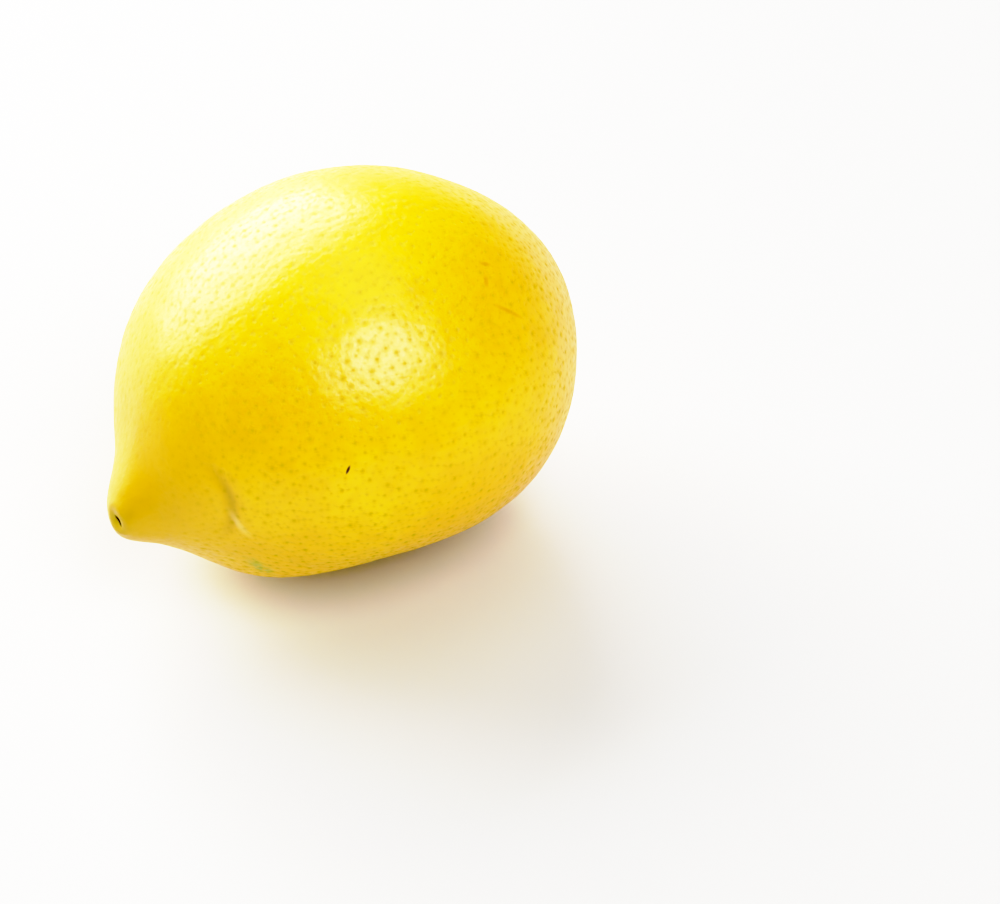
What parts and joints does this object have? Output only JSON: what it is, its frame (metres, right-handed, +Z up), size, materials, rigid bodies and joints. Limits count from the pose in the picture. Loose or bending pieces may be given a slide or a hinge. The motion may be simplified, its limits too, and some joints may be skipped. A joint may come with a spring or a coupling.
{
  "type": "lemon",
  "caption": "Whole lemon lying on its side: plump oval fruit with a blunt bent nipple at one end, a dished stem end at the other and a small flat spot to rest on.",
  "frame": {"origin": "on the surface the fruit lies on, below the middle of its bounding box", "axes": "+X along the fruit from the nipple to the stem end, +Z up; the nipple points to -X and bends towards -Y and down"},
  "size_m": [0.0842, 0.067, 0.0625],
  "materials": {
    "rind": "waxy yellow citrus rind, finely pitted with oil glands, soft satin gloss",
    "calyx": "dry, fibrous brown-green button at the stem end, matt"
  },
  "bodies": {
    "root": {"lemon": "rind"}
  },
  "joints": []
}
